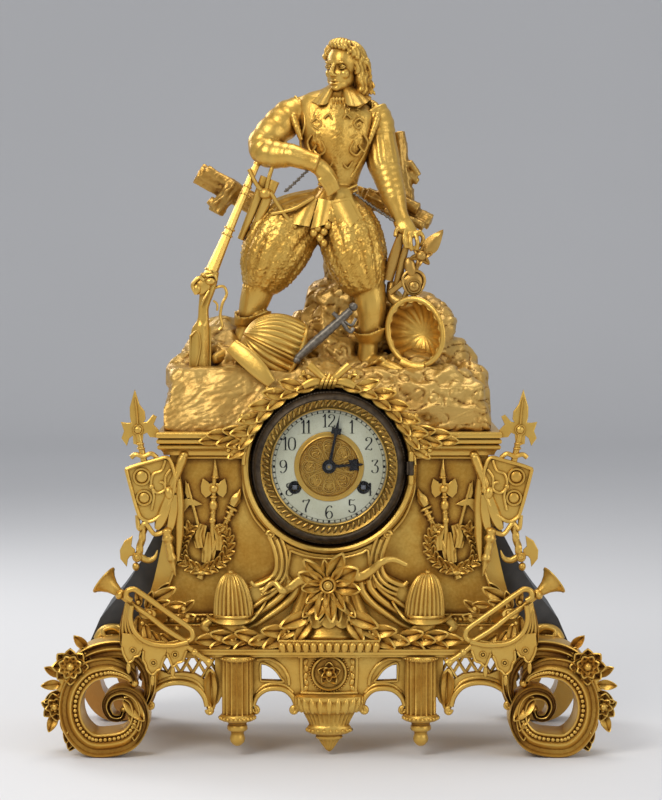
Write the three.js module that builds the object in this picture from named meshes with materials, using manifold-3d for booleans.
// Figural mantel clock: a gilt case on scrolled feet, an eight-day movement behind a porcelain dial
// with a hinged glass, and a rocky mound that carries a soldier with his arms.
// Millimetres. +Z is up, the dial faces -Y, and the origin lies on the shelf under the middle of the clock.
import * as THREE from "three";
import { mergeVertices } from "three/addons/utils/BufferGeometryUtils.js";
import Module from "manifold-3d";

const wasm = await Module();
wasm.setup();

const turn = Math.PI * 2;
const degree = Math.PI / 180;
const sameCorner = 1.37e-4; // corners nearer than this are one

// Facets of the round pieces: the dial and its rings, the hollow round the movement, and small turned work
const facets = { ring: 20, cavity: 20, drum: 14, small: 8, tiny: 6 };

// Driving dimensions

const clearance = 0.35; // between two pieces that seat on each other
const seatGap = 0.5; // how far a cast neighbour is grown before it cuts the piece that seats on it
const overrun = 6; // how far a cutting tool runs past what it cuts
const weld = 0.5; // how deep the pieces of one casting run into each other

const body = {
  rise: 9, // the underside of the cornice above the middle of the dial
  topHalfWidth: 124,
  frontInset: 38, // the foot of the gilt front inside the foot of the shell
  shellFootHalfWidth: 188, // half width of the dark shell behind it
  front: 60, // front face, ahead of the middle
  shellFront: 44, // where the shell starts behind the gilt front
  back: 66,
  wall: 4,
  frontWall: 7,
  panelDepth: 3.5,
};
const platform = { top: 84, thickness: 6, cornerInset: 68, front: 88, moulding: 2 };
const cornice = { overhang: 10, height: 18.5, front: 70, back: 72 };
const dial = {
  height: 223.5, // centre of the dial above the shelf
  enamelInset: 8.2, // the edge of the enamel inside the opening of the bezel
  // the gilt centre, and then the place of the winding squares, as shares of the enamel's radius
  centreShare: 0.584,
  windingOutShare: 0.5907,
  windingDropShare: 0.3606,
  thickness: 2,
  windingHoleShare: 0.1018,
};
const bezel = { outerRadius: 61.2, width: 7.8, depth: 15.3 };
const cavityInset = 3.2; // the hollow round the movement inside the edge of the bezel
const cavityRadius = bezel.outerRadius - cavityInset;
const sightRadius = bezel.outerRadius - bezel.width;
const enamelRadius = sightRadius - dial.enamelInset;
const centreRadius = enamelRadius * dial.centreShare;
const windingHole = enamelRadius * dial.windingHoleShare;
const [windingX, windingDrop] = [enamelRadius * dial.windingOutShare, enamelRadius * dial.windingDropShare];
const frontFootHalfWidth = body.shellFootHalfWidth - body.frontInset;
const platformFrontHalfWidth = body.shellFootHalfWidth - platform.cornerInset;
const platformBottom = platform.top - platform.thickness;
const bodyBottom = platform.top + clearance;
const bodyTop = dial.height + body.rise;
const bodyHeight = bodyTop - bodyBottom;
const dialDrop = dial.height - bodyBottom; // the middle of the dial above the platform
const corniceHalfWidth = body.topHalfWidth + cornice.overhang;
const corniceTop = bodyTop + cornice.height;

// Materials

const finishes = {
  gilt: { color: 0xb98a2e, roughness: 0.42, metalness: 0.85 },
  paleGilt: { color: 0xc9a54a, roughness: 0.38, metalness: 0.85 },
  darkBronze: { color: 0x4a3a22, roughness: 0.5, metalness: 0.7 },
  blackPaint: { color: 0x2e2e2d, roughness: 0.45, metalness: 0.2 },
  brass: { color: 0xb5903f, roughness: 0.35, metalness: 0.95 },
  steel: { color: 0x70757a, roughness: 0.35, metalness: 0.95 },
  blackSteel: { color: 0x15141a, roughness: 0.35, metalness: 0.6 },
  enamel: { color: 0xe9ecd6, roughness: 0.22, metalness: 0 },
  glass: { color: 0xeef4f4, roughness: 0.05, metalness: 0 },
};
const materials = {};
for (const [name, look] of Object.entries(finishes)) {
  materials[name] = new THREE.MeshStandardMaterial(look);
}

// Solid helpers

const vec = (x, y, z) => new THREE.Vector3(x, y, z);
const mix = (a, b, share) => a + (b - a) * share;

// The bare closed mesh of a geometry. One whose corners are already shared is copied as it is.
function closed(geometry) {
  const bare = new THREE.BufferGeometry();
  bare.setAttribute("position", geometry.getAttribute("position").clone());
  if (geometry.index) bare.setIndex(geometry.index.clone());
  const made = geometry.userData.shared ? bare : mergeVertices(bare, sameCorner);
  made.userData.shared = true;
  return made;
}

// A closed geometry as a solid that can be joined and cut.
function solidOf(geometry) {
  const merged = closed(geometry);
  const solid = new wasm.Manifold(
    new wasm.Mesh({
      numProp: 3,
      vertProperties: merged.attributes.position.array,
      triVerts: new Uint32Array(merged.index.array),
    }),
  );
  if (solid.volume() <= 0) throw new Error("a piece has no volume or is inside out");
  return solid;
}

function geometryOf(solid) {
  const mesh = solid.getMesh();
  const geometry = new THREE.BufferGeometry();
  geometry.setAttribute("position", new THREE.BufferAttribute(mesh.vertProperties, 3));
  geometry.setIndex(new THREE.BufferAttribute(mesh.triVerts, 1));
  geometry.userData.shared = true;
  return geometry;
}

const join = (...pieces) => geometryOf(pieces.map(solidOf).reduce((all, piece) => all.add(piece)));

const cut = (piece, ...tools) =>
  geometryOf(tools.map(solidOf).reduce((rest, tool) => rest.subtract(tool), solidOf(piece)));

// The piece with its skin moved out along its own normals.
function grown(geometry, by = seatGap) {
  const merged = closed(geometry);
  merged.computeVertexNormals();
  const place = merged.attributes.position;
  const normal = merged.attributes.normal;
  for (let i = 0; i < place.count; i++) {
    const [x, y, z] = [place.getX(i), place.getY(i), place.getZ(i)];
    place.setXYZ(i, x + normal.getX(i) * by, y + normal.getY(i) * by, z + normal.getZ(i) * by);
  }
  return merged;
}

// The piece cut back wherever a neighbour, with its seating gap, takes its place.
// Chips that the cut leaves loose are dropped: the largest body is the piece.
function seated(piece, ...neighbours) {
  const rest = neighbours.reduce((left, n) => left.subtract(solidOf(grown(n))).subtract(solidOf(n)),
    solidOf(piece));
  const bodies = rest.decompose();
  bodies.sort((a, b) => b.volume() - a.volume());
  return geometryOf(bodies[0]);
}

function flipped(geometry) {
  const index = geometry.index.array;
  for (let i = 0; i < index.length; i += 3) {
    [index[i + 1], index[i + 2]] = [index[i + 2], index[i + 1]];
  }
  return geometry;
}

// The same casting for the other side of the clock.
function mirrored(geometry) {
  const other = closed(geometry);
  other.scale(-1, 1, 1);
  return flipped(other);
}

function volumeOf(points, index) {
  let sum = 0;
  for (let i = 0; i < index.length; i += 3) {
    const [a, b, c] = [points[index[i]], points[index[i + 1]], points[index[i + 2]]];
    sum += a.dot(b.clone().cross(c));
  }
  return sum / 6;
}

// A closed body through rings that all have as many points, with a fan over each end.
function loft(rings) {
  const count = rings[0].length;
  const points = rings.flat();
  const index = [];
  for (let r = 0; r + 1 < rings.length; r++) {
    for (let i = 0; i < count; i++) {
      const [a, b] = [r * count + i, r * count + ((i + 1) % count)];
      index.push(a, b, a + count, b, b + count, a + count);
    }
  }
  for (const [ring, first, back] of [[rings[0], 0, true],
    [rings.at(-1), (rings.length - 1) * count, false]]) {
    const middle = ring.reduce((sum, p) => sum.add(p), vec(0, 0, 0)).divideScalar(count);
    points.push(middle);
    for (let i = 0; i < count; i++) {
      const [a, b] = [first + i, first + ((i + 1) % count)];
      index.push(...(back ? [b, a, points.length - 1] : [a, b, points.length - 1]));
    }
  }
  const geometry = new THREE.BufferGeometry();
  geometry.setAttribute("position", new THREE.Float32BufferAttribute(points.flatMap((p) => [p.x, p.y, p.z]),
    3));
  geometry.setIndex(new THREE.BufferAttribute(new Uint32Array(index), 1));
  geometry.userData.shared = true;
  return volumeOf(points, index) < 0 ? flipped(geometry) : geometry;
}

// A rounded bar along a smooth line. A station is [x, y, z, half width, half depth], and
// the depth lies along `depthAxis` as nearly as the line allows.
function sweep(stations, { sides = 8, steps = 2, depthAxis = vec(0, 1, 0) } = {}) {
  const line = new THREE.CatmullRomCurve3(stations.map((s) => vec(s[0], s[1], s[2])), false, "centripetal");
  const sizes = new THREE.CatmullRomCurve3(stations.map((s) => vec(s[3], s[4] ?? s[3], 0)), false,
    "catmullrom", 0.5);
  const rings = [];
  const last = (stations.length - 1) * steps;
  for (let i = 0; i <= last; i++) {
    const share = i / last;
    const tangent = line.getTangent(share);
    const deep = depthAxis.clone().addScaledVector(tangent, -tangent.dot(depthAxis)).normalize();
    const wide = tangent.clone().cross(deep);
    const size = sizes.getPoint(share);
    const middle = line.getPoint(share);
    rings.push(
      Array.from({ length: sides }, (_, k) => {
        const angle = ((k + 0.5) / sides) * turn;
        return middle
          .clone()
          .addScaledVector(wide, Math.cos(angle) * size.x)
          .addScaledVector(deep, Math.sin(angle) * size.y);
      }),
    );
  }
  return loft(rings);
}

// A straight bar that may taper. Its depth lies along Y, or along Z when it points along Y.
function bar(from, to, half, halfEnd = half, { sides = 5, flat = 1 } = {}) {
  const along = Math.abs(from[1] - to[1]) > Math.hypot(from[0] - to[0], from[2] - to[2]);
  return sweep([[...from, half, half * flat], [...to, halfEnd, halfEnd * flat]], {
    sides,
    steps: 1,
    depthAxis: along ? vec(0, 0, 1) : vec(0, 1, 0),
  });
}

// Turned work. A profile point is [radius, place along the axis]; the axis is Y, or Z when upright.
function turned(profile, segments, upright = false) {
  const geometry = new THREE.LatheGeometry(profile.map(([r, h]) => new THREE.Vector2(Math.max(r, 0), h)),
    segments);
  if (upright) geometry.rotateX(Math.PI / 2);
  const merged = closed(geometry);
  const kept = [];
  const index = merged.index.array;
  for (let i = 0; i < index.length; i += 3) {
    const [a, b, c] = [index[i], index[i + 1], index[i + 2]];
    if (a !== b && b !== c && c !== a) kept.push(a, b, c);
  }
  merged.setIndex(new THREE.BufferAttribute(new Uint32Array(kept), 1));
  const p = merged.attributes.position;
  const points = Array.from({ length: p.count }, (_, i) => vec(p.getX(i), p.getY(i), p.getZ(i)));
  return volumeOf(points, kept) < 0 ? flipped(merged) : merged;
}

const rod = (radius, from, to, segments = 12, upright = false) =>
  turned([[0, from], [radius, from], [radius, to], [0, to]], segments, upright);

const sleeve = (bore, radius, from, to, segments = 12, upright = false) =>
  turned([[bore, from], [radius, from], [radius, to], [bore, to], [bore, from]], segments, upright);

// A round bore along Y, about a point of the XZ plane.
const bore = (x, z, radius, from, to, segments = facets.cavity) => rod(radius, from, to,
  segments).translate(x, 0, z);

// Upright ribbed work: profile points [radius, height], with as many ribs, each sunk by a share between two.
function ribbed(profile, ribs, sunkShare, [x, y], flat = 1) {
  return loft(
    profile.map(([radius, height, plain]) =>
      Array.from({ length: ribs * 2 }, (_, i) => {
        const angle = (i / (ribs * 2)) * turn;
        const r = i % 2 || plain ? radius : radius * (1 - sunkShare);
        return vec(x + Math.cos(angle) * r, y + Math.sin(angle) * r * flat, height);
      }),
    ),
  );
}

// A flat casting that stands in the XZ plane: outline points are [x, z] and it runs from y = back
// towards the front by its thickness.
function plate(outline, back, thickness, { holes = [], bevel = 0 } = {}) {
  const edge = outline.map(([x, z]) => new THREE.Vector2(x, z));
  if (THREE.ShapeUtils.isClockWise(edge)) edge.reverse();
  const shape = new THREE.Shape(edge);
  shape.holes = holes.map((hole) => new THREE.Path(hole.map(([x, z]) => new THREE.Vector2(x, z))));
  const geometry = new THREE.ExtrudeGeometry(shape, {
    depth: thickness - bevel * 2,
    bevelEnabled: bevel > 0,
    bevelSize: bevel,
    bevelOffset: -bevel,
    bevelThickness: bevel,
    bevelSegments: 1,
  });
  geometry.translate(0, 0, bevel);
  geometry.rotateX(Math.PI / 2);
  return geometry.translate(0, back, 0);
}

function block(lowX, highX, lowY, highY, lowZ, highZ) {
  const geometry = new THREE.BoxGeometry(highX - lowX, highY - lowY, highZ - lowZ);
  return geometry.translate((lowX + highX) / 2, (lowY + highY) / 2, (lowZ + highZ) / 2);
}

// Points of an arc of the XZ plane, from one angle to another.
const arc = (x, z, radius, from, to, steps) =>
  Array.from({ length: steps + 1 }, (_, i) => {
    const angle = mix(from, to, i / steps);
    return [x + Math.cos(angle) * radius, z + Math.sin(angle) * radius];
  });

// A pointed leaf that starts at a place of the XZ plane and lies along an angle, ridged down its middle.
function leaf([x, y, z], length, width, angle, thickness) {
  const along = vec(Math.cos(angle), 0, Math.sin(angle));
  const across = vec(-Math.sin(angle), 0, Math.cos(angle));
  const heel = vec(x, y, z);
  const middle = heel.clone().addScaledVector(along, length * 0.45);
  const points = [
    heel, heel.clone().addScaledVector(along, length), middle.clone().addScaledVector(across, width / 2),
    middle.clone().add(vec(0, -thickness, 0)), middle.clone().addScaledVector(across, -width / 2),
    middle.clone().add(vec(0, thickness / 2, 0)),
  ];
  const index = [2, 3, 4, 5].flatMap((a, i) => {
    const b = 2 + ((i + 1) % 4);
    return [0, a, b, 1, b, a];
  });
  const geometry = new THREE.BufferGeometry().setFromPoints(points);
  geometry.setIndex(new THREE.BufferAttribute(new Uint32Array(index), 1));
  return volumeOf(points, index) < 0 ? flipped(geometry) : geometry;
}

// An open flower seen from the front: petals round a sunk ring and a raised heart.
function blossom([x, y, z], radius, petals, thickness) {
  const ringShares = [[1, 0.4], [0.85, -0.6], [0.3, -1.4]]; // radius, place ahead
  return loft(
    ringShares.map(([reach, ahead], ring) =>
      Array.from({ length: petals * 2 }, (_, i) => {
        const angle = (i / (petals * 2)) * turn;
        const r = radius * reach * (ring < 2 && i % 2 ? 0.66 : 1);
        return vec(x + Math.cos(angle) * r, y + thickness * ahead, z + Math.sin(angle) * r);
      }),
    ),
  );
}

// A sprig: leaves in pairs along a stem of the XZ plane, given as points of that plane.
function sprig(stem, y, leafLength, leafWidth, thickness, pairs) {
  const line = new THREE.CatmullRomCurve3(stem.map(([x, z]) => vec(x, y, z)), false, "centripetal");
  const pieces = [sweep(stem.map(([x, z]) => [x, y, z, thickness * 0.6, thickness]), { sides: 4, steps: 1 })];
  for (let i = 0; i < pairs; i++) {
    const share = (i + 0.3) / pairs;
    const place = line.getPointAt(share);
    const tangent = line.getTangentAt(share);
    const heading = Math.atan2(tangent.z, tangent.x);
    for (const spread of [-0.6, 0.6]) {
      pieces.push(leaf([place.x, y, place.z], leafLength, leafWidth, heading + spread, thickness));
    }
  }
  return join(...pieces);
}

const clock = new THREE.Group();

function add(name, geometry, material) {
  const mesh = new THREE.Mesh(geometry, material);
  mesh.name = name;
  clock.add(mesh);
  return geometry;
}

// Case

// The flare of a case side: [share of the height from the top, share of the widening].
const flareShares = [
  [0, 0], [0.28, 0.07], [0.43, 0.2], [0.57, 0.37], [0.66, 0.49], [0.78, 0.69], [0.88, 0.88], [1, 1],
];
const flare = (footHalfWidth, inset = 0) =>
  flareShares.map(([down, out]) => [
    mix(body.topHalfWidth, footHalfWidth, out) - inset,
    mix(bodyTop, bodyBottom, down),
  ]);

const closedFlare = (footHalfWidth, inset) => {
  const right = flare(footHalfWidth, inset);
  return [...right, ...right.map(([x, z]) => [-x, z]).reverse()];
};

// The sunk panel beside the dial, as shares of the half width at the top and of the body's height.
const panelShares = [
  [0.93, 0.985], [0.535, 0.985], [0.53, 0.8], [0.475, 0.68], [0.4, 0.6], [0.335, 0.55], [0.31, 0.45],
  [0.36, 0.37], [0.5, 0.31], [0.62, 0.27], [0.67, 0.15], [1.1, 0.15], [1.02, 0.28], [0.96, 0.42], [0.93, 0.6],
];
const panFace = 63.6; // front of the ring round the enamel
const panRadius = sightRadius + 0.5 * clearance; // the part of the dial pan that passes the case front
const frontHollowInset = 9;

function caseFront() {
  const rim = -body.shellFront - clearance;
  const slab = plate(closedFlare(frontFootHalfWidth, 0), rim, body.front - body.shellFront - clearance);
  const hollow = plate(
    closedFlare(frontFootHalfWidth, frontHollowInset),
    rim + overrun,
    body.front - body.frontWall - body.shellFront - clearance + overrun,
  );
  const panel = plate(
    panelShares.map(([x, z]) => [x * body.topHalfWidth, bodyBottom + z * bodyHeight]),
    -body.front + body.panelDepth,
    body.panelDepth + overrun,
  );
  const hole = bore(0, dial.height, panRadius + clearance * 4, -body.front - overrun, 0);
  return cut(slab, hollow, panel, mirrored(panel), hole);
}

// One flared side of the shell: the wall itself and the web that closes it towards the gilt front.
function caseSide() {
  const outer = flare(body.shellFootHalfWidth);
  const inner = flare(body.shellFootHalfWidth, body.wall).reverse();
  const wall = plate([...outer, ...inner], body.back, body.shellFront + body.back);
  const webInner = flare(frontFootHalfWidth, frontHollowInset - clearance).reverse();
  const web = plate([...flare(body.shellFootHalfWidth), ...webInner], -body.shellFront + body.wall,
    body.wall);
  return join(wall, web);
}

const backPlate = { thickness: 5, collar: 61, opening: 50 };

const doorHinge = { radius: 2, pin: 0.8, length: 36, running: 0.3, knuckle: 12 };
const door = { overlap: 3, thickness: 1.6 };
const doorX = backPlate.opening + door.overlap + doorHinge.radius;
const doorY = body.back + clearance + doorHinge.radius;

// A hinge's outer knuckles with their pin, upright about the origin.
function outerKnuckles(hinge) {
  const pieces = [rod(hinge.pin, -hinge.length / 2, hinge.length / 2, 6, true)];
  for (const side of [1, -1]) {
    const from = (hinge.knuckle / 2 + hinge.running) * side;
    const to = (hinge.length / 2) * side;
    pieces.push(rod(hinge.radius, Math.min(from, to), Math.max(from, to), 8, true));
  }
  return join(...pieces);
}

const innerKnuckle = (hinge) =>
  sleeve(hinge.pin + hinge.running, hinge.radius, -hinge.knuckle / 2, hinge.knuckle / 2, 8, true);

// The two lugs that carry a hinge's outer knuckles, from its axis back to what it is fixed to.
function hingeLugs(hinge, x, y, seat) {
  return [1, -1].map((side) => {
    const [from, to] = [hinge.knuckle / 2 + hinge.running, hinge.length / 2].map((z) => z * side);
    return block(x - hinge.pin, x + hinge.radius, Math.min(y, seat), Math.max(y, seat), Math.min(from, to),
      Math.max(from, to));
  });
}

// The back closes the shell, rises as a round collar behind the mound and is open behind the movement.
function caseBack() {
  const wall = plate(closedFlare(body.shellFootHalfWidth, body.wall + clearance), body.back,
    backPlate.thickness);
  const collar = bore(0, dial.height, backPlate.collar, body.back - backPlate.thickness, body.back);
  const opening = bore(0, dial.height, backPlate.opening, 0, body.back + overrun);
  const hinge = join(
    outerKnuckles(doorHinge).translate(doorX, doorY, 0),
    ...hingeLugs(doorHinge, doorX, doorY, body.back - weld),
  ).translate(0, 0, dial.height);
  return join(cut(join(wall, collar), opening), hinge);
}

// The round door behind the movement, hung on a pin at the side.
function backDoor() {
  const y = body.back + clearance;
  const disc = rod(backPlate.opening + door.overlap, y, y + door.thickness, facets.cavity);
  const boss = turned([[0, y + weld], [door.overlap * 2, y + weld], [door.overlap, y + overrun],
    [0, y + overrun]], 12);
  const arm = block(doorX - doorHinge.radius * 3, doorX - doorHinge.pin - doorHinge.running * 2, y,
    y + door.thickness,
    -doorHinge.knuckle / 2, doorHinge.knuckle / 2);
  const knuckle = innerKnuckle(doorHinge).translate(doorX, doorY, 0);
  const half = doorHinge.length / 2 + clearance;
  const bite = rod(doorHinge.radius + clearance * 2, -half, half, 10, true).translate(doorX, doorY, 0);
  return join(cut(disc, bite), boss, arm, knuckle).translate(0, 0, dial.height);
}

// The platform: a moulded front tongue, and a wide plate under the shell.
function basePlatform() {
  const plan = [
    [body.shellFootHalfWidth, body.back], [body.shellFootHalfWidth, -body.shellFront],
    [frontFootHalfWidth, -body.front - platform.moulding], [platformFrontHalfWidth, -platform.front],
  ];
  const step = platform.thickness / 3;
  const slab = (shrink, low, high) => {
    const right = plan.map(([x, y]) => new THREE.Vector2(x - shrink, y < 0 ? y + shrink : y));
    const left = right.map(({ x, y }) => new THREE.Vector2(-x, y)).reverse();
    const geometry = new THREE.ExtrudeGeometry(new THREE.Shape([...right, ...left]), {
      depth: high - low,
      bevelEnabled: false,
    });
    return geometry.translate(0, 0, low);
  };
  return join(
    slab(platform.moulding, platformBottom, platformBottom + step + weld),
    slab(0, platformBottom + step, platformBottom + step * 2),
    slab(platform.moulding / 2, platformBottom + step * 2 - weld, platform.top),
  );
}

const surround = { width: 6.4, back: 60, front: 73.5, leafLength: 21, leafWidth: 10, leafThickness: 2.6,
  lean: 0.6 };
const surroundOuter = bezel.outerRadius + clearance * 2 + surround.width;

// One half of the cornice: three reeded steps, bored for the dial and for the movement behind it.
function corniceHalf() {
  const stepShares = [[0, 0.34, 0.08], [0.34, 0.66, 0.035], [0.66, 1, 0]]; // low, high, inset
  const low = bodyTop + clearance;
  const slabs = stepShares.map(([from, to, inset]) => {
    const draw = inset * cornice.front;
    return block(weld, corniceHalfWidth - draw, -cornice.front + draw, cornice.back - draw,
      mix(low, corniceTop, from), mix(low, corniceTop, to) + (to < 1 ? weld / 2 : 0));
  });
  const dialBore = bore(0, dial.height, surroundOuter + clearance, -cornice.front - overrun,
    -body.front + clearance);
  const cavity = bore(0, dial.height, cavityRadius, -cornice.front - overrun, cornice.back + overrun);
  const collar = bore(0, dial.height, backPlate.collar + clearance,
    body.back - backPlate.thickness - clearance,
    cornice.back + overrun);
  return cut(join(...slabs), dialBore, cavity, collar);
}

const bezelHinge = { radius: 2.2, pin: 0.9, length: 24, running: 0.3, knuckle: 11 };
const bezelX = bezel.outerRadius + bezelHinge.radius;
const bezelBack = panFace + clearance;
const bezelFront = bezelBack + bezel.depth;
const bezelY = -bezelFront + bezelHinge.radius * 1.6;

// The ring round the bezel, with laurel over its upper half, a ribbon knot, and the bezel's hinge bracket.
function dialSurround() {
  const inner = bezel.outerRadius + clearance * 2;
  const back = -surround.back - clearance;
  const ring = turned(
    [[inner, back], [inner, -surround.front + clearance * 2],
    [mix(inner, surroundOuter, 0.5), -surround.front],
      [surroundOuter, -mix(surround.back, surround.front, 0.6)], [surroundOuter, back], [inner, back]],
    facets.ring,
  );
  const pieces = [ring];
  const leafY = -cornice.front - clearance - surround.leafThickness / 2;
  const leafLeans = [18, 32, 46, 60, 74].map((lean) => lean * degree);
  for (const side of [1, -1]) {
    for (const lean of leafLeans) {
      const angle = turn / 4 - side * (turn / 4 - lean);
      const radius = surroundOuter - surround.width * 0.6;
      const place = [Math.cos(angle) * radius, leafY, Math.sin(angle) * radius];
      pieces.push(leaf(place, surround.leafLength, surround.leafWidth, angle + side * surround.lean,
        surround.leafThickness));
    }
  }
  const knotZ = mix(inner, surroundOuter, 0.5);
  const knot = bar([-surround.leafWidth, -surround.front, knotZ],
    [surround.leafWidth, -surround.front, knotZ],
    surround.width / 2);
  const hinge = [
    outerKnuckles(bezelHinge).translate(bezelX, bezelY, 0),
    ...hingeLugs(bezelHinge, bezelX, bezelY, back),
  ];
  return join(...pieces, knot, ...hinge).translate(0, 0, dial.height);
}

// The bezel that opens with the glass: a moulded ring with a rebate behind, and its hinge knuckle.
const glass = { thickness: 2, radiusGap: 0.4, setBack: 5, rebateShare: 0.35 };
const glassFront = bezelFront - glass.setBack;
const rebateRadius = mix(sightRadius, bezel.outerRadius, glass.rebateShare);

function bezelRing() {
  const { outerRadius } = bezel;
  const across = (share) => mix(sightRadius, outerRadius, share);
  const profile = [
    [outerRadius, -bezelBack], [outerRadius, -mix(bezelBack, bezelFront, 0.6)], [across(0.72), -bezelFront],
    [across(0.4), -bezelFront + clearance * 3], [sightRadius, -glassFront - glass.radiusGap * 2],
    [sightRadius, -glassFront], [rebateRadius, -glassFront], [rebateRadius, -bezelBack],
    [outerRadius, -bezelBack],
  ];
  const half = bezelHinge.length / 2 + clearance;
  const relief = rod(bezelHinge.radius + clearance * 2, -half, half, 10, true).translate(bezelX, bezelY, 0);
  const knuckle = innerKnuckle(bezelHinge).translate(bezelX, bezelY, 0);
  const lug = block(across(0.6), bezelX - bezelHinge.pin - bezelHinge.running * 2, bezelY - bezelHinge.pin,
    bezelY + bezelHinge.radius, -bezelHinge.knuckle / 2, bezelHinge.knuckle / 2);
  return join(cut(turned(profile, facets.ring), relief), knuckle, lug).translate(0, 0, dial.height);
}

function bezelGlass() {
  const radius = rebateRadius - glass.radiusGap;
  const [front, back] = [-glassFront + clearance, -glassFront + clearance + glass.thickness];
  const profile = [[0, back], [radius, back], [radius, front], [0, front]];
  return turned(profile, facets.ring).translate(0, 0, dial.height);
}

// Dial

const pan = { back: 56.8, seat: 58.6, centreFace: 61, hole: 4.2 };
const panFlange = bezel.outerRadius - clearance * 2;

const windingHoles = (from, to) =>
  [1, -1].map((side) => bore(side * windingX, -windingDrop, windingHole, from, to, 8));

// The pan behind the dial: an embossed ring round the enamel and a raised gilt centre.
function dialPan() {
  const ringInner = enamelRadius + clearance;
  const profile = [
    [pan.hole, -pan.back], [pan.hole, -pan.centreFace], [centreRadius, -pan.centreFace],
    [centreRadius, -pan.seat], [ringInner, -pan.seat], [ringInner, -mix(pan.seat, panFace, 0.7)],
    [mix(ringInner, panRadius, 0.5), -panFace], [panFlange, -panFace], [panFlange, -body.front - clearance],
    [panRadius, -body.front - clearance],
    [panRadius, -pan.back], [pan.hole, -pan.back],
  ];
  return cut(turned(profile, facets.ring), ...windingHoles(-panFace - overrun, 0)).translate(0, 0,
    dial.height);
}

function dialPlate() {
  const back = -pan.seat - clearance;
  const front = back - dial.thickness;
  const inner = centreRadius + clearance;
  const profile = [
    [inner, back], [inner, front + clearance], [mix(inner, enamelRadius, 0.5), front],
    [enamelRadius, front + clearance], [enamelRadius, back], [inner, back],
  ];
  return cut(turned(profile, facets.ring), ...windingHoles(front - overrun, 0)).translate(0, 0, dial.height);
}

// Movement

const frontPlate = { front: 46, thickness: 2 };
const rearPlate = { front: 14, thickness: 2 };
const between = { front: -frontPlate.front + frontPlate.thickness, back: -rearPlate.front };
const pivot = { radius: 0.8, hole: 1.3 };
const arbor = { radius: 1.6, shoulder: 0.4 };
const motion = { hourPipe: 3.6, cannonPipe: 2.4, arborTip: 1.2, running: 0.3, boss: 1.6 };
const hands = { hour: 27, minute: 42, thickness: 0.9, hourFace: 62.5, minuteFace: 64.3 };

const motionGear = { cannonTeeth: 8, minuteTeeth: 24, minuteLeaves: 7, hourTeeth: 28, distance: 19.2 };
const cannonModule = (motionGear.distance * 2) / (motionGear.cannonTeeth + motionGear.minuteTeeth);
const hourModule = (motionGear.distance * 2) / (motionGear.minuteLeaves + motionGear.hourTeeth);
const train = {
  barrelTeeth: 42,
  centreLeaves: 7,
  centreTeeth: 72,
  thirdLeaves: 6,
  thirdTeeth: 60,
  escapeLeaves: 6,
  escapeTeeth: 42,
  module: 0.5,
  escapeRadius: 11,
  wheelThickness: 1.5,
};
const barrelDistance = Math.hypot(windingX, windingDrop);
const barrelModule = (barrelDistance * 2) / (train.barrelTeeth + train.centreLeaves);
const thirdDistance = (train.module * (train.centreTeeth + train.thirdLeaves)) / 2;
const escapeDistance = (train.module * (train.thirdTeeth + train.escapeLeaves)) / 2;

// Places of the arbors in the XZ plane, about the middle of the dial.
const thirdAngle = 138.65 * degree;
const thirdPlace = [Math.cos(thirdAngle) * thirdDistance, Math.sin(thirdAngle) * thirdDistance];
const escapePlace = [0, thirdPlace[1] + Math.sqrt(escapeDistance ** 2 - thirdPlace[0] ** 2)];
const palletPlace = [0, escapePlace[1] + train.escapeRadius * Math.SQRT2];
const timePlace = [windingX, -windingDrop];
const strikePlace = [-windingX, -windingDrop];
const minuteAngle = 45 * degree;
const minutePlace = [Math.cos(minuteAngle) * motionGear.distance,
  Math.sin(minuteAngle) * motionGear.distance];

// The front face of each wheel, as its distance ahead of the middle of the clock.
const plane = {
  timeWheel: 41, strikeWheel: 29, centreWheel: 24.5, thirdWheel: 21, escapeWheel: 18, hourWheel: 52.6,
    cannonWheel: 49.6,
};
// its radius as a share of the way to the centre arbor
const drum = { radiusShare: 0.687, length: 11, bore: 2.9 };
const drumRadius = barrelDistance * drum.radiusShare;

const wheelTooth = { tipShare: 0.85, rootShare: 1.15 };
const leafTooth = { tipShare: 0.7, rootShare: 1.25 };

// The outline of a toothed wheel about the origin. `facing` is the direction of its mate, and
// it meets it with a tooth or, as a pinion does, with the space between two.
function teethOutline(teeth, module, facing, tooth, spaceFirst = false) {
  const pitchRadius = (teeth * module) / 2;
  const tip = pitchRadius + module * tooth.tipShare;
  const root = pitchRadius - module * tooth.rootShare;
  const pitch = turn / teeth;
  const first = facing + (spaceFirst ? pitch / 2 : 0);
  const points = [];
  for (let i = 0; i < teeth; i++) {
    const middle = first + i * pitch;
    const at = (radius, offset) => [Math.cos(middle + offset) * radius, Math.sin(middle + offset) * radius];
    points.push(at(tip, 0), at(root, pitch / 2));
  }
  return points;
}

// The openings that leave a wheel its hub, rim and four spokes.
function crossings(hub, rim, spoke) {
  return [0, 1, 2, 3].map((i) => {
    const [from, to] = [(i * turn) / 4, ((i + 1) * turn) / 4];
    const outer = arc(0, 0, rim, from + spoke / rim, to - spoke / rim, 3);
    const inner = arc(0, 0, hub, to - spoke / hub, from + spoke / hub, 1);
    return [...outer, ...inner];
  });
}

function wheel(teeth, module, facing, front, thickness,
  { holes = [], tooth = wheelTooth, spaceFirst = false } = {}) {
  return plate(teethOutline(teeth, module, facing, tooth, spaceFirst), -front + thickness, thickness,
    { holes });
}

const roundHole = (x, z, radius, steps = 6) => arc(x, z, radius, turn - turn / steps, 0, steps - 1);
const centred = (geometry, [x, z]) => geometry.translate(x, 0, dial.height + z);

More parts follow.
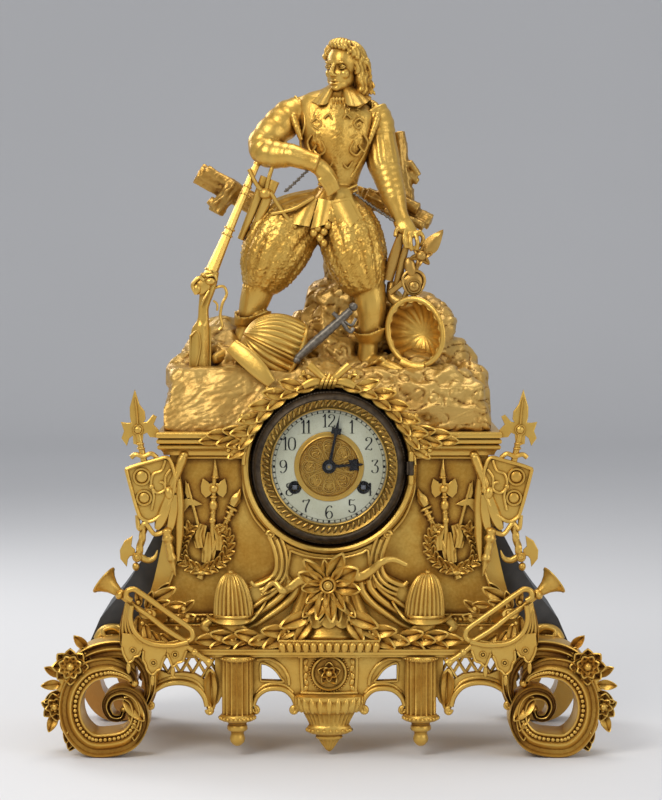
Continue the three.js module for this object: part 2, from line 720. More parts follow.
// An arbor with a pivot at each end that runs in the plates.
function arborRod(radius = arbor.radius, backReach = rearPlate.thickness) {
  const [front, back] = [between.front + arbor.shoulder, between.back - arbor.shoulder];
  const nose = between.front - frontPlate.thickness;
  const tail = between.back + backReach;
  return turned(
    [[0, nose], [pivot.radius, nose], [pivot.radius, front], [radius, front], [radius, back],
    [pivot.radius, back],
      [pivot.radius, tail], [0, tail]],
    6,
  );
}

const spokes = (teeth, module) => crossings(arbor.radius * 2, (teeth * module) / 2 - module * 4,
  arbor.radius * 0.7);

function centreArbor() {
  const nose = rod(motion.arborTip, -hands.minuteFace - hands.thickness, between.front + weld, 8);
  const toBarrel = Math.atan2(timePlace[1], timePlace[0]);
  const pinion = wheel(train.centreLeaves, barrelModule, toBarrel, plane.timeWheel + weld,
    train.wheelThickness * 3,
    { tooth: leafTooth, spaceFirst: true });
  const great = wheel(train.centreTeeth, train.module, thirdAngle, plane.centreWheel, train.wheelThickness,
    { holes: spokes(train.centreTeeth, train.module) });
  return centred(join(arborRod(), nose, pinion, great), [0, 0]);
}

function thirdArbor() {
  const pinion = wheel(train.thirdLeaves, train.module, thirdAngle + turn / 2, plane.centreWheel + weld,
    train.wheelThickness * 1.6, { tooth: leafTooth, spaceFirst: true });
  const toEscape = Math.atan2(escapePlace[1] - thirdPlace[1], escapePlace[0] - thirdPlace[0]);
  const great = wheel(train.thirdTeeth, train.module, toEscape, plane.thirdWheel, train.wheelThickness,
    { holes: spokes(train.thirdTeeth, train.module) });
  return centred(join(arborRod(train.module * 1.5), pinion, great), thirdPlace);
}

// The escape wheel: forward-leaning pointed teeth on a light crossed rim.
function escapeArbor() {
  const { escapeTeeth, escapeRadius, module, wheelThickness } = train;
  const rootRadius = escapeRadius - module * 3;
  const outline = [];
  for (let i = 0; i < escapeTeeth; i++) {
    const [root, tip] = [(i * turn) / escapeTeeth, ((i + 0.75) * turn) / escapeTeeth];
    outline.push([Math.cos(root) * rootRadius, Math.sin(root) * rootRadius]);
    outline.push([Math.cos(tip) * escapeRadius, Math.sin(tip) * escapeRadius]);
  }
  const holes = crossings(arbor.radius * 1.5, escapeRadius - module * 5.5, arbor.radius * 0.5);
  const toothed = plate(outline, -plane.escapeWheel + wheelThickness * 0.8, wheelThickness * 0.8, { holes });
  const toThird = Math.atan2(thirdPlace[1] - escapePlace[1], thirdPlace[0] - escapePlace[0]);
  const pinion = wheel(train.escapeLeaves, module, toThird, plane.thirdWheel + weld, wheelThickness * 1.6,
    { tooth: leafTooth, spaceFirst: true });
  return centred(join(arborRod(module * 1.5), toothed, pinion), escapePlace);
}

// A spring barrel: a drum with its great wheel at one end, bored for the winding arbor.
function barrel(place, wheelFront, drumFront) {
  const facing = Math.atan2(-place[1], -place[0]);
  const great = wheel(train.barrelTeeth, barrelModule, facing, wheelFront, train.wheelThickness * 1.6);
  const shell = rod(drumRadius, -drumFront, -drumFront + drum.length, facets.drum);
  const hole = rod(drum.bore, -plane.timeWheel - overrun, 0, 10);
  return centred(cut(join(great, shell), hole), place);
}

// The winding arbor passes through its barrel and ends in a square behind the dial.
const winding = { radius: 2.5, square: 3.4, front: 59, squareLength: 12 };

function windingArbor(place) {
  const [front, back] = [between.front + arbor.shoulder, between.back - arbor.shoulder];
  const squareBack = -winding.front + winding.squareLength;
  const slim = winding.radius - clearance;
  const tail = between.back + rearPlate.thickness;
  const shaft = turned(
    [[0, squareBack - weld], [slim, squareBack - weld], [slim, front], [winding.radius, front],
    [winding.radius, back],
      [pivot.radius * 2, back], [pivot.radius * 2, tail], [0, tail]],
    facets.small,
  );
  const half = winding.square / 2;
  return centred(join(shaft, block(-half, half, -winding.front, squareBack, -half, half)), place);
}

// The plates carry every pivot. [share of the half width, share of the half height] from the dial's middle.
// their edges past the spring barrels and the anchor's arbor
const plates = { side: 5.9, foot: 1.8, head: 4 };
const barrelReach = barrelModule * (train.barrelTeeth / 2 + wheelTooth.tipShare);
const plateHalfWidth = windingX + barrelReach + plates.side;
const plateFoot = windingDrop + barrelReach + plates.foot;
const plateHead = palletPlace[1] + plates.head;
// A place on the plates from shares of their half width and of their reach down or up.
const onPlate = ([x, z]) => [x * plateHalfWidth, z * (z < 0 ? plateFoot : plateHead)];
const plateShares = [
  [-0.89, -1], [0.89, -1], [1, -0.43], [1, 0], [0.66, 1], [-0.66, 1], [-1, 0], [-1, -0.43],
];
const plateOutline = plateShares.map(onPlate);
const hammerPlace = onPlate([-0.76, -0.91]);
const pillarShares = [[0.915, -0.6], [-0.915, -0.6], [0.6, 0.77], [-0.6, 0.77]];
const postShares = [[0.94, -0.17], [-0.94, -0.17], [0.84, -0.9], [-0.84, -0.9]];
const pillar = { radius: 2.2, post: 2, stud: 1.3 };

const pivotHoles = (extra) => [
  ...[thirdPlace, escapePlace, palletPlace, hammerPlace].map(([x, z]) => roundHole(x, z, pivot.hole)),
  ...extra,
];

function movementFrontPlate() {
  const holes = pivotHoles([
    roundHole(0, 0, motion.arborTip + motion.running * 1.5, 8),
    ...[timePlace, strikePlace].map(([x, z]) => roundHole(x, z, winding.radius + clearance * 1.5, 10)),
  ]);
  const pieces = [plate(plateOutline, between.front, frontPlate.thickness, { holes })];
  for (const share of pillarShares) {
    pieces.push(bore(...onPlate(share), pillar.radius, between.front - weld,
      between.back - clearance, 6));
  }
  for (const share of postShares) {
    pieces.push(bore(...onPlate(share), pillar.post, -body.front + body.frontWall + clearance,
      -frontPlate.front + weld, 6));
  }
  pieces.push(bore(...minutePlace, pillar.stud, -plane.hourWheel - train.wheelThickness,
    between.front - weld, 8));
  return centred(join(...pieces), [0, 0]);
}

const suspension = { halfWidth: 4, gap: 0.6, y: -7, lift: 1.2 };

// The rear plate also carries the suspension block of the pendulum.
function movementRearPlate() {
  const holes = pivotHoles([
    roundHole(0, 0, pivot.hole),
    ...[timePlace, strikePlace].map(([x, z]) => roundHole(x, z, pivot.radius * 2 + clearance * 1.5, 8)),
  ]);
  const rear = -rearPlate.front + rearPlate.thickness;
  const hangZ = palletPlace[1] + suspension.lift + suspension.gap;
  const { halfWidth } = suspension;
  const post = block(-halfWidth, halfWidth, rear - weld, suspension.y + halfWidth / 2, hangZ,
    hangZ + halfWidth);
  return centred(join(plate(plateOutline, rear, rearPlate.thickness, { holes }), post), [0, 0]);
}

// Motion work between the front plate and the dial.
function cannonPinion() {
  const pipe = sleeve(motion.arborTip + motion.running, motion.cannonPipe, -hands.minuteFace - clearance,
    -plane.cannonWheel + train.wheelThickness * 1.6, 10);
  const leaves = wheel(motionGear.cannonTeeth, cannonModule, minuteAngle, plane.cannonWheel,
    train.wheelThickness * 1.6,
    { tooth: leafTooth, spaceFirst: true, holes: [roundHole(0, 0,
      mix(motion.arborTip, motion.cannonPipe, 0.7), 10)] });
  return centred(join(pipe, leaves), [0, 0]);
}

function minuteWheel() {
  const hole = roundHole(0, 0, pillar.stud + motion.running * 1.5, 8);
  const great = wheel(motionGear.minuteTeeth, cannonModule, minuteAngle + turn / 2,
    plane.cannonWheel - clearance,
    train.wheelThickness, { holes: [hole] });
  const leaves = wheel(motionGear.minuteLeaves, hourModule, minuteAngle + turn / 2,
    plane.hourWheel + clearance,
    plane.hourWheel - plane.cannonWheel + clearance * 3,
      { tooth: leafTooth, spaceFirst: true, holes: [hole] });
  return centred(join(great, leaves), minutePlace);
}

function hourWheel() {
  const pipe = sleeve(motion.cannonPipe + motion.running, motion.hourPipe, -hands.hourFace - clearance,
    -plane.hourWheel + train.wheelThickness, 10);
  const great = wheel(motionGear.hourTeeth, hourModule, minuteAngle, plane.hourWheel, train.wheelThickness,
    { holes: [roundHole(0, 0, mix(motion.cannonPipe, motion.hourPipe, 0.7), 10)] });
  return centred(join(pipe, great), [0, 0]);
}

// A hand points to twelve: an outline of [half width, height] shares of its length, on a bored boss.
const hourHandShares = [
  [0.05, 0], [0.035, 0.5], [0.045, 0.62], [0.15, 0.56], [0.16, 0.86], [0.05, 0.8], [0.03, 0.92], [0, 1],
];
const minuteHandShares = [
  [0.032, 0], [0.02, 0.56], [0.03, 0.62], [0.09, 0.62], [0.09, 0.74], [0.03, 0.73], [0.015, 0.85], [0, 1],
];

function hand(shares, length, face, pipe, atTurn) {
  const right = shares.map(([wide, along]) => [wide * length, along * length]);
  const left = right.slice(0, -1).map(([x, z]) => [-x, z]).reverse();
  const blade = plate([...right, ...left], -face + hands.thickness, hands.thickness);
  const boss = rod(pipe + motion.boss + motion.running, -face, -face + hands.thickness, facets.drum);
  const hole = rod(pipe + motion.running, -face - overrun, 0, facets.drum);
  const made = cut(join(blade, boss), hole);
  return centred(made.rotateY(atTurn * turn), [0, 0]);
}

// The dial shows about two minutes past three: both hands in shares of a turn past twelve.
const shownShares = { minute: 0.032, hour: 0.239 };

// The anchor, its arbor and the crutch that leads the pendulum. Right half, as shares of the wheel's radius.
const anchorShares = [
  [0, 0.24], [0.2, 0.2], [0.55, -0.02], [0.86, -0.36], [0.95, -0.66], [0.8, -0.62], [0.62, -0.36],
  [0.4, -0.2], [0, -0.17],
];
const crutch = { length: 40, half: 0.9, gap: 0.4, back: -9.4 };

function palletArbor() {
  const right = anchorShares.map(([x, z]) => [x * train.escapeRadius, z * train.escapeRadius]);
  const left = right.slice(1, -1).map(([x, z]) => [-x, z]).reverse();
  const anchor = plate([...right, ...left], -plane.escapeWheel + train.wheelThickness, train.wheelThickness);
  const stem = arborRod(arbor.radius * 0.75, crutch.back + rearPlate.front);
  const { half, length, back } = crutch;
  const front = -rearPlate.front + rearPlate.thickness + clearance;
  const arm = block(-half, half, front, back, -length, half);
  const prongs = [1, -1].map((side) => {
    const inner = (pendulum.rod + crutch.gap) * side;
    const outer = (pendulum.rod + crutch.gap + half) * side;
    return block(Math.min(inner, outer), Math.max(inner, outer), front, suspension.y + pendulum.rod,
      -length - half, -length);
  });
  const bridge = block(-pendulum.rod * 3, pendulum.rod * 3, front, back, -length - half, -length + half);
  return centred(join(anchor, stem, arm, ...prongs, bridge), palletPlace);
}

const pendulum = { floorGap: 26, rod: 0.9, bob: 17, bobDepth: 3.2, nut: 2.6 };
const pendulumLength = dialDrop + palletPlace[1] - pendulum.floorGap - pendulum.bob - pendulum.nut * 2;


function pendulumBody() {
  const { y } = suspension;
  const stem = rod(pendulum.rod, -pendulumLength - pendulum.bob - pendulum.nut * 2, suspension.lift, 8, true);
  const bob = turned(
    [[0, -pendulum.bobDepth], [pendulum.bob * 0.6, -pendulum.bobDepth * 0.8], [pendulum.bob, 0],
      [pendulum.bob * 0.6, pendulum.bobDepth * 0.8], [0, pendulum.bobDepth]],
    facets.cavity,
  ).translate(0, 0, -pendulumLength);
  const nutTop = -pendulumLength - pendulum.bob + weld;
  const nut = rod(pendulum.nut, nutTop - pendulum.nut * 1.5, nutTop, 10, true);
  return centred(join(stem, bob, nut).translate(0, y, 0), palletPlace);
}

// The strike: a coiled gong on its stand and the hammer that hangs beside it.
const gong = { out: 34, riseShare: 0.4, y: -9, outer: 26, inner: 7, wire: 1.3, turns: 2, boss: 8, standY: 1 };
const gongX = hammerPlace[0] - gong.out;
const gongZ = bodyBottom + dialDrop * gong.riseShare;
const hammer = { length: 33.5, shank: 1, head: 3.6, lean: 0.1 };

function gongCoil() {
  const steps = gong.turns * 14;
  const points = Array.from({ length: steps + 1 }, (_, i) => {
    const angle = (i / 14) * turn;
    const radius = mix(gong.outer, gong.inner, i / steps);
    return vec(gongX + Math.cos(angle) * radius, gong.y, gongZ + Math.sin(angle) * radius);
  });
  const section = new THREE.Shape(arc(0, 0, gong.wire, 0, turn - turn / 4,
    3).map(([x, z]) => new THREE.Vector2(x, z)));
  const wire = new THREE.ExtrudeGeometry(section, { steps, extrudePath: new THREE.CatmullRomCurve3(points) });
  const boss = bore(gongX, gongZ, gong.boss, gong.y - gong.wire, gong.standY, 12);
  const stand = block(gongX - gong.boss / 2, gongX + gong.boss / 2, gong.y + gong.wire * 2, gong.standY,
    bodyBottom, gongZ);
  const base = block(gongX - gong.boss * 1.5, gongX + gong.boss * 1.5, gong.y - gong.boss,
    gong.standY + gong.boss,
    bodyBottom, bodyBottom + gong.boss / 2);
  return join(wire, boss, stand, base);
}

function strikeHammer() {
  const { length, shank, head, lean } = hammer;
  const [x, z] = [-Math.sin(lean) * length, -Math.cos(lean) * length];
  const tail = gong.y + shank - between.back;
  const arm = bar([0, gong.y, weld], [x, gong.y, z], shank);
  const peen = rod(head, -head, head, 10, true).rotateY(turn / 4 + lean).translate(x, gong.y, z);
  return centred(join(arborRod(arbor.radius * 0.75, tail), arm, peen), hammerPlace);
}

// Base

const apron = { inset: 52, setBack: 16, thickness: 8 };
const apronHalfWidth = body.shellFootHalfWidth - apron.inset;
const apronBack = platform.front - apron.setBack;
// Half of the apron's outline, from its top middle: shares of the half width and of the platform's height.
const apronShares = [
  [1, 0.995], [1.045, 0.8], [1.035, 0.52], [0.985, 0.66], [0.92, 0.715], [0.85, 0.7], [0.76, 0.62],
  [0.7, 0.5],
  [0.66, 0.42], [0.63, 0.5], [0.62, 0.57], [0.44, 0.57], [0.43, 0.46], [0.4, 0.58], [0.35, 0.645],
  [0.29, 0.655],
  [0.22, 0.58], [0.19, 0.44], [0.15, 0.52], [0, 0.52],
];
const archHoleShares = [[0.27, 0.74], [0.27, 0.92], [0.4, 0.92], [0.39, 0.82], [0.34, 0.75]];
const lattice = { from: 0.7, to: 0.94, low: 0.76, high: 0.96, diamonds: 3, bar: 0.022 };

// The lattice beside each column: whole diamonds with a bar left between neighbours.
function latticeHoles() {
  const step = (lattice.to - lattice.from) / lattice.diamonds;
  const half = step / 2 - lattice.bar / 2;
  const middle = mix(lattice.low, lattice.high, 0.5);
  const rise = (lattice.high - lattice.low) / 2;
  return Array.from({ length: lattice.diamonds }, (_, i) => {
    const x = lattice.from + step * (i + 0.5);
    return [[x - half, middle], [x, middle + rise], [x + half, middle], [x, middle - rise]];
  });
}

function baseApron() {
  const at = ([x, z]) => [x * apronHalfWidth, z * platformBottom];
  const right = apronShares.map(at);
  const left = right.slice(0, -1).map(([x, z]) => [-x, z]).reverse();
  const windows = [archHoleShares, ...latticeHoles()].map((shares) => shares.map(at));
  const holes = [...windows, ...windows.map((points) => points.map(([x, z]) => [-x, z]).reverse())];
  return join(plate([...right, ...left], -apronBack, apron.thickness, { holes }), centrePendant());
}

const column = { x: 71, radius: 12.5, proud: 8.5, flutes: 6, fluteShare: 0.14 };
// [share of the radius, share of the platform's height, plain]
const columnFront = platform.front + column.proud;
const columnShares = [
  [0.1, 0.105, 1], [0.42, 0.17, 1], [0.3, 0.225, 1], [1, 0.32, 1],
  [1, 0.37, 1], [0.88, 0.39], [0.88, 0.9], [1, 0.915, 1], [1, 0.992, 1],
];

function fluteColumn() {
  const profile = columnShares.map(([r, h, plain]) => [r * column.radius, h * platformBottom, plain]);
  return ribbed(profile, column.flutes, column.fluteShare, [column.x, -columnFront + column.radius]);
}

const pendant = { radius: 27, setBack: 10, ribs: 7, roundel: 13.5, sunkShare: 0.1 };
const pendantY = -platform.front + pendant.setBack;
const pendantShares = [
  [0.04, 0.032, 1], [0.34, 0.15, 1], [0.28, 0.185, 1], [0.61, 0.24, 1], [0.4, 0.28, 1],
  [0.62, 0.3], [0.76, 0.44], [1, 0.5], [0.86, 0.62, 1], [0.84, 0.995, 1],
];

function centrePendant() {
  const flat = (columnFront + pendantY) / pendant.radius;
  const profile = pendantShares.map(([r, h, plain]) => [r * pendant.radius, h * platformBottom, plain]);
  const bell = ribbed(profile, pendant.ribs, pendant.sunkShare, [0, pendantY], flat);
  const z = mix(0.62, 0.99, 0.5) * platformBottom;
  const face = -columnFront + clearance;
  const disc = bore(0, z, pendant.roundel, face + clearance * 4, pendantY, 12);
  const flower = blossom([0, face + clearance * 5, z], pendant.roundel * 0.7, 4, clearance * 3);
  return join(bell, disc, flower);
}

// Feet: a band that runs round in a scroll and curls up inside itself, with a lug under the platform.
const foot = {
  inset: 19.5, // the middle of the scroll inside the foot of the shell
  radius: 31,
  eyeRadius: 7,
  band: 5.4,
  depth: 34,
  proud: 4, // the front foot ahead of the platform
  rearProud: 30.5, // the rear foot behind the shell
  sink: 2.4, // how much the scroll is cut flat where it stands
  sweepTurns: 1.42,
  startTurn: 0.29,
  lugHalfWidth: 20,
  lugReach: 22,
};
const footX = body.shellFootHalfWidth - foot.inset;
const footFront = platform.front + foot.proud;
const rearReach = body.back + foot.rearProud;
const footCentreZ = foot.radius + foot.band - foot.sink;
const bloom = { radius: 12, thickness: 3, out: 43.5, z: 38 };

function scroll(yMiddle) {
  const steps = 16;
  const stations = Array.from({ length: steps + 1 }, (_, i) => {
    const share = i / steps;
    const angle = (foot.startTurn - foot.sweepTurns * share) * turn;
    const radius = share < 0.56 ? foot.radius : mix(foot.radius, foot.eyeRadius,
      ((share - 0.56) / 0.44) ** 0.8);
    const half = mix(foot.band, foot.band * 0.6, Math.max(share * 2 - 1, 0));
    return [footX + Math.cos(angle) * radius, yMiddle, footCentreZ + Math.sin(angle) * radius, half,
      foot.depth / 2];
  });
  return sweep(stations, { sides: 6, steps: 1 });
}

const ground = () => block(-footX * 2, footX * 2, -footFront * 2, rearReach * 2, -foot.radius, 0);

// The lug that joins a scroll to the underside of the platform.
const footLug = (from, to) =>
  block(footX - foot.lugHalfWidth, footX + foot.lugHalfWidth, from, to, footCentreZ + foot.radius * 0.75,
    platformBottom - clearance);

function frontFoot() {
  const middle = -footFront + foot.depth / 2;
  const { radius, thickness, z } = bloom;
  const outer = footX + foot.lugHalfWidth;
  const x = footX + bloom.out;
  const pieces = [
    blossom([x, middle, z], radius, 5, thickness),
    blossom([x - radius * 1.2, middle, z + radius * 2.5], radius, 5, thickness),
    leaf([outer, middle, platformBottom - foot.band], radius * 1.9, radius, turn * 0.19, thickness),
    leaf([outer - foot.band, middle, platformBottom - foot.band * 2], radius * 2, radius, turn * 0.25,
      thickness),
    leaf([footX + foot.radius * 0.6, middle, foot.band * 2], radius * 1.5, radius, -turn * 0.07, thickness),
  ];
  return cut(join(scroll(middle), footLug(middle, -body.shellFront + foot.lugReach), ...pieces), ground());
}

function rearFoot() {
  const middle = rearReach - foot.depth / 2;
  return cut(join(scroll(middle), footLug(body.back - foot.lugReach, middle)), ground());
}

// Ornaments of the case front

const ornament = { y: -body.front - clearance, scrollDepth: 7, swagProud: 17.5 };

// The bracket below the dial: two scrolls, a fluted vase between them and a rosette on it.
const bracket = { riseShare: 0.589, halfWidth: 82, webShare: 0.073, vaseRadius: 37, rosette: 13 };
const bracketHeight = dialDrop * bracket.riseShare;
// [x and half width as shares of the bracket's half width, height as a share of its height]
const bracketShares = [
  [0.62, 1, 0.055], [0.52, 0.88, 0.075], [0.43, 0.7, 0.08], [0.42, 0.52, 0.085], [0.52, 0.32, 0.09],
  [0.72, 0.19, 0.1],
  [0.95, 0.13, 0.1],
];
const vaseShares = [[0.3, 0.6, 1], [0.4, 0.56, 1], [0.44, 0.46], [0.58, 0.27], [0.82, 0.12], [1, 0.1, 1],
  [1, 0, 1]];

function dialBracket() {
  const y = ornament.y - ornament.scrollDepth;
  const height = bracketHeight;
  const curl = sweep(
    bracketShares.map(([x, z, half]) =>
      [x * bracket.halfWidth, y, bodyBottom + z * height, half * bracket.halfWidth, ornament.scrollDepth]),
    { sides: 6, steps: 1 },
  );
  const profile = vaseShares.map(([r, h, plain]) => [r * bracket.vaseRadius, bodyBottom + h * height, plain]);
  const vase = ribbed(profile.reverse(), 7, 0.1, [0, ornament.y], 0.45);
  const deep = ornament.y + weld;
  const web = block(-bracket.halfWidth, bracket.halfWidth, y, deep, bodyBottom,
    bodyBottom + bracket.webShare * height);
  const rosetteZ = bodyBottom + height * 0.6;
  const stem = bore(0, rosetteZ, bracket.rosette * 0.5, y - ornament.scrollDepth, deep, 6);
  const rosette = blossom([0, y - ornament.scrollDepth, rosetteZ], bracket.rosette, 5,
    ornament.scrollDepth / 3);
  const back = block(-bracket.halfWidth * 1.1, bracket.halfWidth * 1.1, ornament.y, 0, 0, bodyTop);
  const ring = bore(0, dial.height, surroundOuter + clearance, y - ornament.scrollDepth * 2, 0);
  return cut(join(curl, mirrored(curl), vase, web, stem, rosette), back, ring);
}

const swag = { leafLength: 22, leafWidth: 11, thickness: 2.2, pairs: 4 };
const swagShares = [[0.19, 0.56], [0.42, 0.28], [0.72, 0.17], [1.02, 0.13], [1.24, 0.1]];

function laurelSwag(...neighbours) {
  const stem = swagShares.map(([x, z]) => [x * bracket.halfWidth, bodyBottom + z * bracketHeight]);
  return seated(sprig(stem, -body.front - ornament.swagProud, swag.leafLength, swag.leafWidth,
    swag.thickness, swag.pairs), ...neighbours);
}

// A ribbed helmet that rests on the bracket's scroll.
const helm = { outShare: 0.878, proud: 13, riseShare: 0.2271, radius: 12, height: 25, brim: 15.5, drop: 21,
  ribs: 6 };

function caseHelmet(...neighbours) {
  const x = bracket.halfWidth * helm.outShare;
  const [y, z] = [-body.front - helm.proud, bodyBottom + helm.riseShare * bodyHeight];
  const domeShares = [[0.1, 1, 1], [0.55, 0.84], [0.95, 0.4], [1, 0, 1]];
  const dome = ribbed(domeShares.map(([r, h, plain]) => [r * helm.radius, z + h * helm.height, plain]),
    helm.ribs, 0.12,
    [x, y]);
  const brim = ribbed([[helm.radius * 0.9, z + weld, 1], [helm.brim, z - clearance * 4, 1],
    [helm.radius, z - clearance * 8, 1]], 6, 0, [x, y], 0.75);
  const neckY = y + helm.radius / 4;
  const neck = bar([x, neckY, z], [x, neckY, z - helm.drop], helm.radius * 0.8, helm.radius * 0.6,
    { flat: 0.5 });
  return seated(join(dome, brim, neck), ...neighbours);
}

// Arms and laurel on the sunk panel: a halberd, two crossed torches and a wreath.
const trophy = { x: 92.5, lowShare: 0.335, heightShare: 0.6345, depth: 2.6, wreath: 12.5, staff: 1.7 };

const trophyLow = bodyBottom + trophy.lowShare * bodyHeight;

// A laurel wreath: a ring whose rim is notched into leaves.
function wreath(x, y, z) {
  const leaves = 9;
  const rim = Array.from({ length: leaves * 2 }, (_, i) => {
    const angle = (i / (leaves * 2)) * turn;
    const radius = trophy.wreath * (i % 2 ? 0.95 : 1.35);
    return [x + Math.cos(angle) * radius, z + Math.sin(angle) * radius];
  });
  return plate(rim, y + trophy.depth, trophy.depth * 1.8,
    { holes: [roundHole(x, z, trophy.wreath * 0.7, 9)] });
}

function wallTrophy() {
  const y = -body.front + body.panelDepth - clearance - trophy.depth;
  const height = trophy.heightShare * bodyHeight;
  const at = (x, z) => [trophy.x + x * height, y, trophyLow + z * height];
  const { staff, depth } = trophy;
  const axe = (side) => plate(
    [[0, 0.8], [0.09, 0.87], [0.115, 0.78], [0.09, 0.69], [0, 0.75]].map(([x, z]) =>
      [trophy.x + side * x * height, trophyLow + z * height]), y + depth / 2, depth);
  return join(
    bar(at(0, 0), at(0, 0.9), staff, staff, { sides: 4, flat: depth / staff }),
    leaf(at(0, 0.86), height * 0.14, staff * 4, turn / 4, depth),
    axe(1), axe(-1),
    bar(at(-0.13, 0.22), at(0.11, 0.66), staff, staff * 2, { sides: 4, flat: 0.9 }),
    bar(at(0.13, 0.22), at(-0.11, 0.66), staff, staff * 2, { sides: 4, flat: 0.9 }),
    wreath(trophy.x, y, trophyLow + height * 0.32),
  );
}

// The shield on the corner of the case, with the halberd and the axe that cross behind it.
const shield = { out: 9, drop: 1.5, width: 31, height: 57, proud: 5, thickness: 3.6, staff: 1.9,
  axeThickness: 1.8 };
// Outline as shares of the shield's width and height, from its top middle.
const shieldShares = [[-0.5, -0.02], [-0.2, -0.06], [0.1, 0], [0.48, -0.1], [0.5, -0.6], [0.2, -1],
  [-0.28, -0.8], [-0.5, -0.4]];
const halberdShares = [ // blade outline about the middle of the head, as shares of its height
  [0.05, 0.5], [0.06, 0.2], [0.42, 0.3], [0.34, 0], [0.42, -0.28], [0.06, -0.12], [0.06, -0.4],
  [-0.06, -0.4], [-0.06, -0.1], [-0.44, -0.22], [-0.3, 0.05], [-0.36, 0.24], [-0.06, 0.16], [-0.05, 0.5],
];
const crescentShares = [[0, 0.2], [0.5, 0.5], [0.36, 0], [0.5, -0.5], [0, -0.2], [-0.2, 0]];

function shieldTrophy() {
  const { width, height, thickness, staff, axeThickness } = shield;
  const [x, y, top] = [body.topHalfWidth + shield.out, -body.front - shield.proud, bodyTop - shield.drop];
  const board = plate(shieldShares.map(([u, v]) => [x + u * width, top + v * height]), y + thickness / 2,
    thickness,
    { bevel: thickness / 4 });
  const boss = turned([[0, 0], [width * 0.2, 0], [width * 0.1, -thickness], [0, -thickness]], 10)
    .translate(x, y, top - height * 0.45);
  const back = y + thickness / 2 + clearance;
  const tip = [x + width * 0.32, back, top + height * 0.86];
  const halberd = bar([x - width * 0.06, back, top - height * 0.75],
    [x + width * 0.26, back, top + height * 0.55], staff);
  const head = height * 0.48;
  const blade = plate(halberdShares.map(([u, v]) => [x + width * 0.26 + u * head,
    top + height * 0.47 + v * head]),
    back + axeThickness / 2, axeThickness);
  const spear = leaf([x + width * 0.25, back, top + height * 0.5], tip[2] - top - height * 0.5, staff * 4.4,
    turn * 0.245, staff);
  const hub = [x + width * 0.48, back, top - height * 1.21];
  const axeStaff = bar([x - width * 0.3, back, top - height * 0.3], hub, staff);
  const crescent = plate(crescentShares.map(([u, v]) => [hub[0] + u * head * 0.8,
    hub[2] + head * 0.2 + v * head * 0.8]),
    back + axeThickness / 2, axeThickness);
  const spike = leaf([hub[0], hub[1], hub[2] + staff * 2], head * 0.7, staff * 3, -turn * 0.2, staff);
  return join(board, boss, halberd, blade, spear, axeStaff, crescent, spike);
}

// The trumpet and the scalloped drapery on the shoulder of the foot.
const trumpet = { proud: 22, tube: 2.6, module: 168.5 };
const trumpetShares = [ // [x, z, half width] as shares of its module, with the foot's middle at one
  [0.99, 0.805, 0.083], [0.965, 0.79, 0.05], [0.9, 0.74, 0.022], [0.78, 0.655, 0.016], [0.66, 0.57, 0.015],
  [0.615, 0.54, 0.015], [0.6, 0.5, 0.015], [0.62, 0.465, 0.015], [0.66, 0.47, 0.015], [0.84, 0.56, 0.015],
];
const drapeShares = [
  [0.66, 0.62], [0.8, 0.66], [0.93, 0.62], [0.98, 0.5], [0.9, 0.42], [0.86, 0.44], [0.8, 0.36], [0.75, 0.4],
  [0.7, 0.36],
  [0.66, 0.42], [0.62, 0.5],
];

function trumpetTrophy(...neighbours) {
  const { tube, module } = trumpet;
  const at = (x, z) => [footX + (x - 1) * module, z * module];
  const y = -body.front - trumpet.proud;
  const stations = trumpetShares.map(([x, z, half]) => {
    const [across, up] = at(x, z);
    return [across, y, up, half * module];
  });
  const horn = sweep(stations, { sides: 6, steps: 1 });
  const [[neckX, neckZ], [lipX, lipZ]] = [at(0.62, 0.54), at(0.545, 0.475)];
  const mouthpiece = bar([neckX, y, neckZ], [lipX, y, lipZ], tube * 0.7, tube);
  const cloth = plate(drapeShares.map(([x, z]) => at(x, z)), y + tube * 3, tube * 3.2);
  return seated(join(horn, mouthpiece, cloth), ...neighbours);
}

// Rocky mound and what lies on it. Its tables are shares of one length, measured from the cornice.
const mound = { moduleShare: 0.7463, setBack: 11.4 };
const moundModule = corniceHalfWidth * mound.moduleShare;
const moundBack = cornice.back - mound.setBack;
const onRock = ([x, y, z, ...sizes]) =>
  [x * moundModule, y * moundModule, corniceTop + clearance + z * moundModule,
    ...sizes.map((s) => s * moundModule)];
const onRockAll = (stations) => stations.map(onRock);

// [height, left, right, front, back] of each level of the rock.
const rockShares = [
  [0, -1.285, 1.26, -0.63, 0.6], [0.2, -1.27, 1.25, -0.61, 0.58], [0.36, -1.2, 1.2, -0.56, 0.56],
  [0.45, -1.06, 1.1, -0.44, 0.52],
];
// The boulders on it: the middle of each, then its half width, half depth and height above the middle.
const boulderShares = [
  [-0.93, 0.03, 0.44, 0.29, 0.44, 0.42], [-0.55, 0.12, 0.42, 0.38, 0.4, 0.25],
  [-0.2, 0.18, 0.5, 0.3, 0.32, 0.3],
  [0.06, 0.24, 0.78, 0.27, 0.28, 0.4], [0.22, 0.26, 1.03, 0.23, 0.24, 0.42],
  [0.4, 0.2, 0.68, 0.26, 0.3, 0.36],
  [0.1, -0.02, 0.46, 0.32, 0.3, 0.26], [0.76, 0.12, 0.7, 0.26, 0.32, 0.34], [0.98, 0, 0.46, 0.26, 0.4, 0.3],
];
const boulderLevelShares = [[-0.5, 0.9], [0.35, 0.96], [0.97, 0.4]]; // height, size
const shot = { place: [0.81, -0.56, 0.245], radius: 0.063 }; // the round shot that lies on the rock

